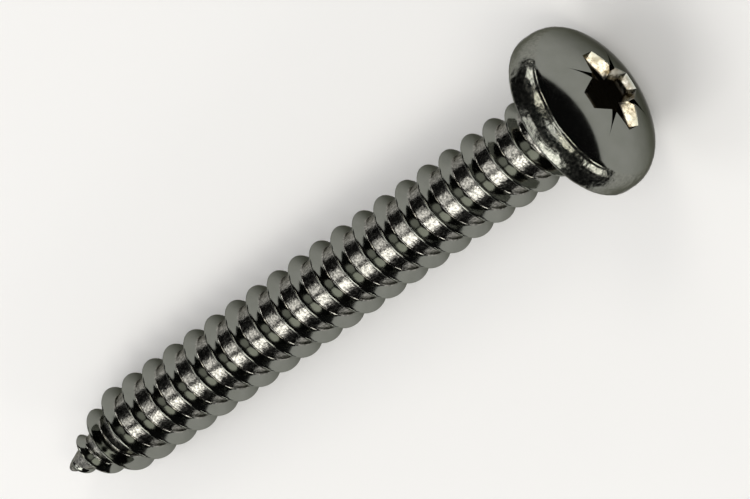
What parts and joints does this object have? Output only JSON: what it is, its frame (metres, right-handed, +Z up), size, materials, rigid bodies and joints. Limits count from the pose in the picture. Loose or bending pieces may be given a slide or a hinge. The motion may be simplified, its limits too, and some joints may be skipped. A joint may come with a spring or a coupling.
{
  "type": "sheet metal screw",
  "caption": "Bright steel sheet metal screw with a pan head, a cross recess with tick grooves, a coarse thread up to the head and a cone point.",
  "frame": {"origin": "on the plane that the screw lies on, under the middle of the box around it", "axes": "+Z up; the screw's axis runs in the XZ plane with the head at +X, tipped 3.87 degrees up towards the head because the rim of the head and the thread near the point both touch the plane"},
  "size_m": [0.041, 0.0092, 0.0092],
  "materials": {
    "steel": "bright steel: smooth dome and thread flanks, rough side wall and thread root"
  },
  "bodies": {
    "root": {"screw": "steel"}
  },
  "joints": []
}
